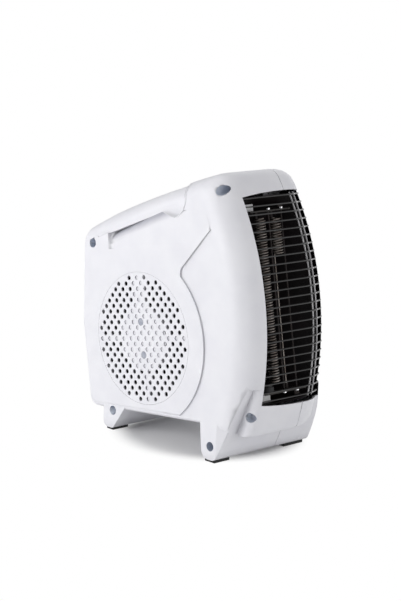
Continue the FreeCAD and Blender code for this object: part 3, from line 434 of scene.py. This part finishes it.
# whole diamonds round the inner holes, then one fill between them, the outermost holes and the rim
steps = int(plate["reachSteps"])
sides = plate["sides"]
quarter = sides // 4
holePitch = plate["pitchMm"]
diamond = [(1, 0), (0, 1), (-1, 0), (0, -1), (1, 0)]
loops = closedEdges(circleVerts(0, 0, plate["radiusMm"], plate["rimSides"]))
lattice = set()
for row in range(-steps, steps + 1):
    for column in range(-steps, steps + 1):
        if (row + column) % 2 == 0 or math.hypot(row, column) > plate["reachSteps"]:
            continue
        seat = column == 0 and abs(row) == plate["screwRow"]
        radius = (plate["screwSeatMm"] if seat else plate["holeMm"]) / 2
        inner = circleVerts(column * holePitch, row * holePitch, radius, sides)
        reach = max(math.hypot(column + a, row + b) for a, b in diamond) * holePitch
        if reach > plate["radiusMm"] - plate["bandMm"]:
            loops += closedEdges(inner)
            continue
        outer = []
        for k in range(sides):
            side, share = divmod(k, quarter)
            spot = [a + (b - a) * share / quarter for a, b in zip(*diamond[side:side + 2])]
            outer.append(plateVert((column + spot[0]) * holePitch, (row + spot[1]) * holePitch))
        lattice.update(outer)
        for k in range(sides):
            after = (k + 1) % sides
            plateBm.faces.new((outer[k], outer[after], inner[after], inner[k]))
field = [edge for edge in plateBm.edges if len(edge.link_faces) == 1 and lattice.issuperset(edge.verts)]
bmesh.ops.triangle_fill(plateBm, edges=field + loops, use_beauty=True)
bmesh.ops.recalc_face_normals(plateBm, faces=plateBm.faces)
if sum(face.normal.x * face.calc_area() for face in plateBm.faces) > 0:
    bmesh.ops.reverse_faces(plateBm, faces=plateBm.faces)  # the outside looks to the near side
bmesh.ops.solidify(plateBm, geom=plateBm.faces, thickness=plate["thickMm"] * mm)
bmesh.ops.recalc_face_normals(plateBm, faces=plateBm.faces)
addPiece("intakePlate", plateBm, "heater", "white_plastic", replaced=["intake_grille"], smoothDegrees=40)
print("intake plate pierced")

# ribs that join the motor's seat to the rim, close behind the holes: a wide one above and three slim ones
ribs = {"frontMm": -65.85, "backMm": -62.75, "wideMm": 14.2, "slimMm": 3.4, "fromMm": 29.0, "toMm": 57.0,
        "bevelMm": 0.5}
ribBm = bmesh.new()
deep = (ribs["frontMm"], ribs["backMm"])
above = (ribs["fromMm"], ribs["toMm"])
below = (-ribs["toMm"], -ribs["fromMm"])
wide, slim = [(-ribs[key] / 2, ribs[key] / 2) for key in ("wideMm", "slimMm")]
for forward, up in ((wide, above), (slim, below), (above, slim), (below, slim)):
    addBlock(ribBm, deep, forward, up, ribs["bevelMm"])
addPiece("motorSeatRibs", ribBm, "heater", "white_plastic")
print("ribs added")

# pale tabs at the near ends of the two boards: painted light, the lit ends of the shaded boards
tabs = {"acrossMm": (-29.9, -18.2), "forwardMm": (105.6, 106.4), "upMm": ((105.3, 111.6), (-60.9, -55.1)),
        "bevelMm": 0.3}
tabBm = bmesh.new()
for up in tabs["upMm"]:
    addBlock(tabBm, tabs["acrossMm"], tabs["forwardMm"], up, tabs["bevelMm"])
addPiece("boardTabs", tabBm, "heater", "mica", [litMicaEnd])
print("tabs added")

# the heating coils: a close winding in place of the open one; the far one is wound at its top only
coilSizes = {"wireMm": 1.1, "pitchMm": 2.3, "radiusMm": 4.6, "stepsPerTurn": 14, "sides": 6, "farTurns": 14,
             "leadMm": 1.2, "leadSides": 8}
coilPitch = coilSizes["pitchMm"] * mm
leadRadius = coilSizes["leadMm"] * mm / 2
coils = bmesh.new()
coilPoints = sorted(solidPoints("heating_coils"), key=lambda points: solidMiddle(points).x)
for order, points in enumerate(coilPoints):
    heights = [(point - intakeAxis).dot(leanUp) for point in points]
    ahead = sum((point - intakeAxis).dot(leanFront) for point in points) / len(points)
    turns = coilSizes["farTurns"] if order else int((max(heights) - min(heights)) / coilPitch)
    low = max(heights) - turns * coilPitch
    foot = Vector((solidMiddle(points).x, intakeAxis.y, intakeAxis.z)) + leanFront * ahead + leanUp * low
    # the near coil starts at its front, the far one at its near side, where its lead drops
    radial = Vector((-1, 0, 0)) if order else leanFront
    start = foot + radial * coilSizes["radiusMm"] * mm
    wireTurn = radial.cross(leanUp).to_track_quat("Z", "Y").to_matrix().to_4x4()
    ring = bmesh.ops.create_circle(coils, segments=coilSizes["sides"], radius=coilSizes["wireMm"] * mm / 2,
                                   matrix=Matrix.Translation(start) @ wireTurn)["verts"]
    edges = list({edge for vert in ring for edge in vert.link_edges})
    bmesh.ops.spin(coils, geom=ring + edges, cent=foot, axis=leanUp,
                   dvec=leanUp * (coilPitch / coilSizes["stepsPerTurn"]), angle=math.radians(360) * turns,
                   steps=turns * coilSizes["stepsPerTurn"])
    if order:
        drop = low - min(heights)
        bmesh.ops.create_cone(coils, segments=coilSizes["leadSides"], radius1=leadRadius, radius2=leadRadius,
                              cap_ends=True, depth=drop,
                              matrix=Matrix.Translation(start - leanUp * drop / 2) @ leanTurn)
bmesh.ops.recalc_face_normals(coils, faces=coils.faces)
addPiece("woundCoils", coils, "heater", "heater_wire", replaced=["heating_coils"], smoothDegrees=60)
print("coils wound")

# printed scale marks round the two dials on the far panel
marks = {"countPerDial": 9, "fromDegrees": -140, "spanDegrees": 280, "innerMm": 18.5, "outerMm": 22.0,
         "wideMm": 0.9, "thickMm": 0.12, "knobGapMm": 0.8, "liftMm": 0.02}
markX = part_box("thermostat_knob")[0][0] / mm - marks["knobGapMm"] + marks["liftMm"]
markBm = bmesh.new()
for node in ("thermostat_knob", "selector_knob"):
    low, high = [Vector(corner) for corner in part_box(node)]
    forward, up = unleaned((low + high) / 2)[1:]
    for k in range(marks["countPerDial"]):
        angle = math.radians(marks["fromDegrees"] + marks["spanDegrees"] * k / (marks["countPerDial"] - 1))
        out = Vector((math.sin(angle), math.cos(angle)))
        side = Vector((out.y, -out.x)) * marks["wideMm"] / 2
        spots = []
        for reach, way in (("innerMm", -1), ("innerMm", 1), ("outerMm", 1), ("outerMm", -1)):
            spot = out * marks[reach] + side * way
            spots.append(markBm.verts.new(leaned(markX, forward + spot.x, up + spot.y)))
        markBm.faces.new(spots)
bmesh.ops.recalc_face_normals(markBm, faces=markBm.faces)
bmesh.ops.solidify(markBm, geom=markBm.faces, thickness=marks["thickMm"] * mm)
bmesh.ops.recalc_face_normals(markBm, faces=markBm.faces)
addPiece("dialMarks", markBm, "heater", "black_plastic", [printInk])
print("dial marks printed")

# every other solid keeps its own mesh and takes its finish
replacedNodes = set(skins) | {"heating_coils", "intake_grille"}
for node, solid in frame["nodes"].items():
    if node not in replacedNodes:
        solid.data.materials.clear()
        solid.data.materials.append(nodeLooks.get(node) or slotLooks[nodeSlot[node]])
print("finishes given")

# pale floor that keeps the contact shadow; past the footprint it turns plain white to the camera
studio = {"floorMetres": 6.0, "floorTone": 0.9, "worldLight": 0.34, "printMm": (80, 84),
          "fadeShares": (0.8, 1.15), "lampAimMetres": (0, 0, 0.12)}
plainWhite = {"Color": (1, 1, 1, 1), "Strength": 1.0}
floorBm = bmesh.new()
bmesh.ops.create_grid(floorBm, x_segments=1, y_segments=1, size=studio["floorMetres"])
floorMesh = bpy.data.meshes.new("studioFloor")
floorBm.to_mesh(floorMesh)
floorBm.free()
floor = bpy.data.objects.new("studioFloor", floorMesh)
scene.collection.objects.link(floor)
paper = bpy.data.materials.new("whiteBackdropPaper")
paper.use_nodes = True
paperTree = paper.node_tree
paperTree.nodes.clear()
paperRay = addNode(paperTree, "ShaderNodeLightPath")
paperSeen = addNode(paperTree, "ShaderNodeMath", {"operation": "MAXIMUM"})
paperTree.links.new(paperRay.outputs["Is Camera Ray"], paperSeen.inputs[0])
paperTree.links.new(paperRay.outputs["Is Glossy Ray"], paperSeen.inputs[1])
dull = addNode(paperTree, "ShaderNodeBsdfDiffuse", {"Color": [studio["floorTone"]] * 3 + [1]})
floorPlace = addNode(paperTree, "ShaderNodeTexCoord")
footprint = addNode(paperTree, "ShaderNodeMapping",
                    {"Scale": [1 / (half * mm) for half in studio["printMm"]] + [1]},
                    Vector=floorPlace.outputs["Object"])
farOut = addNode(paperTree, "ShaderNodeVectorMath", {"operation": "LENGTH"})
paperTree.links.new(footprint.outputs["Vector"], farOut.inputs[0])
fade = addNode(paperTree, "ShaderNodeMapRange",
               {"interpolation_type": "SMOOTHSTEP", "From Min": studio["fadeShares"][0],
                "From Max": studio["fadeShares"][1]}, Value=farOut.outputs["Value"])
seenFade = addNode(paperTree, "ShaderNodeMath", {"operation": "MULTIPLY"})
paperTree.links.new(fade.outputs["Result"], seenFade.inputs[0])
paperTree.links.new(paperSeen.outputs[0], seenFade.inputs[1])
paperWhite = addNode(paperTree, "ShaderNodeEmission", plainWhite)
faded = addNode(paperTree, "ShaderNodeMixShader", None, Fac=seenFade.outputs[0])
paperTree.links.new(dull.outputs[0], faded.inputs[1])
paperTree.links.new(paperWhite.outputs[0], faded.inputs[2])
addNode(paperTree, "ShaderNodeOutputMaterial", Surface=faded.outputs[0])
floorMesh.materials.append(paper)

# the room gives an even light and reads as white behind the object
world = bpy.data.worlds.new("softRoom")
scene.world = world
world.use_nodes = True
roomTree = world.node_tree
roomTree.nodes.clear()
roomRay = addNode(roomTree, "ShaderNodeLightPath")
roomSeen = addNode(roomTree, "ShaderNodeMath", {"operation": "MAXIMUM"})
roomTree.links.new(roomRay.outputs["Is Camera Ray"], roomSeen.inputs[0])
roomTree.links.new(roomRay.outputs["Is Transmission Ray"], roomSeen.inputs[1])
roomLight = addNode(roomTree, "ShaderNodeBackground",
                    {"Color": plainWhite["Color"], "Strength": studio["worldLight"]})
roomWhite = addNode(roomTree, "ShaderNodeBackground", plainWhite)
roomMix = addNode(roomTree, "ShaderNodeMixShader", None, Fac=roomSeen.outputs[0])
roomTree.links.new(roomLight.outputs[0], roomMix.inputs[1])
roomTree.links.new(roomWhite.outputs[0], roomMix.inputs[2])
addNode(roomTree, "ShaderNodeOutputWorld", Surface=roomMix.outputs[0])

lampRows = [
    {"name": "keyLeft", "at": (-1.7, 0.55, 0.55), "size": 1.2, "watts": 18.0},
    {"name": "frontFill", "at": (0.7, -1.7, 0.4), "size": 1.4, "watts": 9.5},
    {"name": "farFill", "at": (1.7, 0.8, 0.9), "size": 1.4, "watts": 4.5},
    {"name": "topSoft", "at": (-0.2, 0.3, 1.7), "size": 1.6, "watts": 5.5},
]
lampAim = Vector(studio["lampAimMetres"])
for row in lampRows:
    lamp = bpy.data.lights.new(row["name"], "AREA")
    lamp.shape = "DISK"
    lamp.size = row["size"]
    lamp.energy = row["watts"]
    lampObject = bpy.data.objects.new(row["name"], lamp)
    lampObject.location = row["at"]
    lampObject.rotation_euler = (lampAim - Vector(row["at"])).to_track_quat("-Z", "Y").to_euler()
    scene.collection.objects.link(lampObject)
print("studio lit", len(lampRows), "lamps")

# camera solved from the photograph: azimuth, height and a slight roll
view = {"azimuth": -44.29, "elevation": 11.53, "roll": 2.13, "distance": 1.66089, "lensMm": 107.82,
        "sensorMm": 36, "aimMm": (4.43, 20.41, 122.03)}
azimuth, rise, roll = [math.radians(view[key]) for key in ("azimuth", "elevation", "roll")]
back = Vector((math.sin(azimuth) * math.cos(rise), -math.cos(azimuth) * math.cos(rise), math.sin(rise)))
right = Vector((math.cos(azimuth), math.sin(azimuth), 0))
viewUp = back.cross(right)
rolledRight = math.cos(roll) * right + math.sin(roll) * viewUp
rolledUp = math.cos(roll) * viewUp - math.sin(roll) * right
cameraData = bpy.data.cameras.new("photoCamera")
cameraData.lens = view["lensMm"]
cameraData.sensor_width = view["sensorMm"]
camera = bpy.data.objects.new("photoCamera", cameraData)
cameraPlace = Matrix((rolledRight, rolledUp, back)).transposed().to_4x4()
cameraPlace.translation = Vector(view["aimMm"]) * mm + back * view["distance"]
camera.matrix_world = cameraPlace
scene.collection.objects.link(camera)
scene.camera = camera
scene.view_settings.view_transform = "Standard"
print("camera set")
